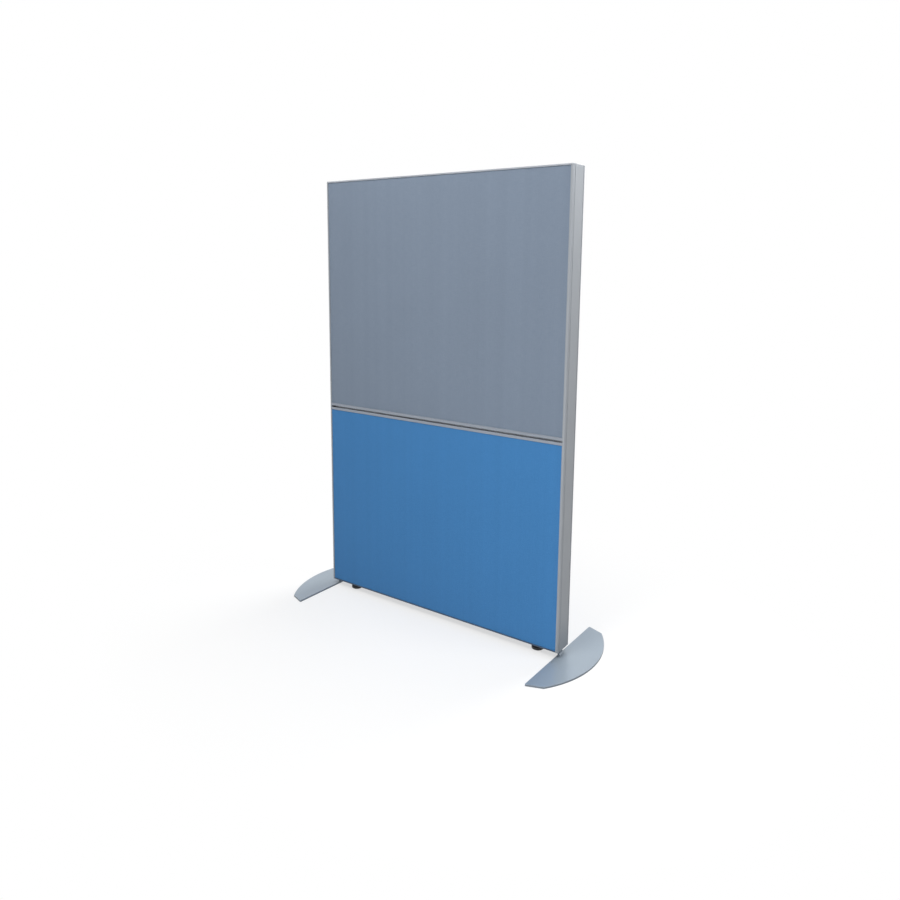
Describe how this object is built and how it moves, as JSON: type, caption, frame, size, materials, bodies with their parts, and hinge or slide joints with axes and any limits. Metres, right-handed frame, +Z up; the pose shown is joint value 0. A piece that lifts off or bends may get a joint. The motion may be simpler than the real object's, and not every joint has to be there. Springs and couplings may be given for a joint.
{
  "type": "fabric screen panel",
  "caption": "Free-standing office screen: an aluminium frame with a slotted middle rail holds a grey fabric field over a blue one, on half-moon feet and levelling glides.",
  "frame": {"origin": "on the floor, under the middle of the panel", "axes": "+X along the panel's width, +Y through its thickness away from the pictured face, +Z up"},
  "size_m": [1.174, 0.4394, 1.5],
  "materials": {
    "anodised_aluminium": "satin silver anodised",
    "end_cap_plastic": "moulded silver grey",
    "grey_fabric": "plain woven grey cloth",
    "blue_fabric": "plain woven blue cloth",
    "board": "pressed fibreboard",
    "core_board": "slotted fibreboard strips",
    "silver_steel": "silver powder coat on steel",
    "zinc_steel": "bright zinc plated",
    "black_plastic": "moulded black"
  },
  "bodies": {
    "frame": {"bottom_rail": "anodised_aluminium", "bottom_rail_screws": "zinc_steel", "left_cover_strip": "anodised_aluminium", "left_edge_trim": "anodised_aluminium", "left_foot_nuts": "zinc_steel", "left_foot_plate": "silver_steel", "left_foot_screws": "zinc_steel", "left_foot_tongue": "silver_steel", "left_glide_insert": "zinc_steel", "left_post": "anodised_aluminium", "left_post_cap": "end_cap_plastic", "lower_core": "core_board", "lower_front_board": "board", "lower_front_fabric": "blue_fabric", "lower_rear_board": "board", "lower_rear_fabric": "blue_fabric", "lower_slot_track": "anodised_aluminium", "mid_rail": "anodised_aluminium", "mid_rail_rivets": "zinc_steel", "mid_rail_screws": "zinc_steel", "right_cover_strip": "anodised_aluminium", "right_edge_trim": "anodised_aluminium", "right_foot_nuts": "zinc_steel", "right_foot_plate": "silver_steel", "right_foot_screws": "zinc_steel", "right_foot_tongue": "silver_steel", "right_glide_insert": "zinc_steel", "right_post": "anodised_aluminium", "right_post_cap": "end_cap_plastic", "top_rail": "anodised_aluminium", "top_rail_screws": "zinc_steel", "upper_core": "core_board", "upper_front_board": "board", "upper_front_fabric": "grey_fabric", "upper_rear_board": "board", "upper_rear_fabric": "grey_fabric", "upper_slot_track": "anodised_aluminium"},
    "left_glide_pad": {"left_glide_pad": "black_plastic"},
    "left_glide_stem": {"left_glide_stem": "zinc_steel"},
    "right_glide_pad": {"right_glide_pad": "black_plastic"},
    "right_glide_stem": {"right_glide_stem": "zinc_steel"}
  },
  "joints": [
    {"name": "left_glide_height", "type": "slide", "parent": "frame", "child": "left_glide_pad", "axis": [0, 0, -1], "range_m": [-0.006, 0.015]},
    {"name": "left_glide_turn", "type": "hinge", "parent": "left_glide_pad", "child": "left_glide_stem", "pos_m": [-0.39, 0, 0.012], "axis": [0, 0, -1], "range_deg": [-1440, 3600]},
    {"name": "right_glide_height", "type": "slide", "parent": "frame", "child": "right_glide_pad", "axis": [0, 0, -1], "range_m": [-0.006, 0.015]},
    {"name": "right_glide_turn", "type": "hinge", "parent": "right_glide_pad", "child": "right_glide_stem", "pos_m": [0.39, 0, 0.012], "axis": [0, 0, -1], "range_deg": [-1440, 3600]}
  ],
  "couplings": [
    {"joint": "left_glide_turn", "follows": "left_glide_height", "rad_per_m": 4188.8},
    {"joint": "right_glide_turn", "follows": "right_glide_height", "rad_per_m": 4188.8}
  ]
}
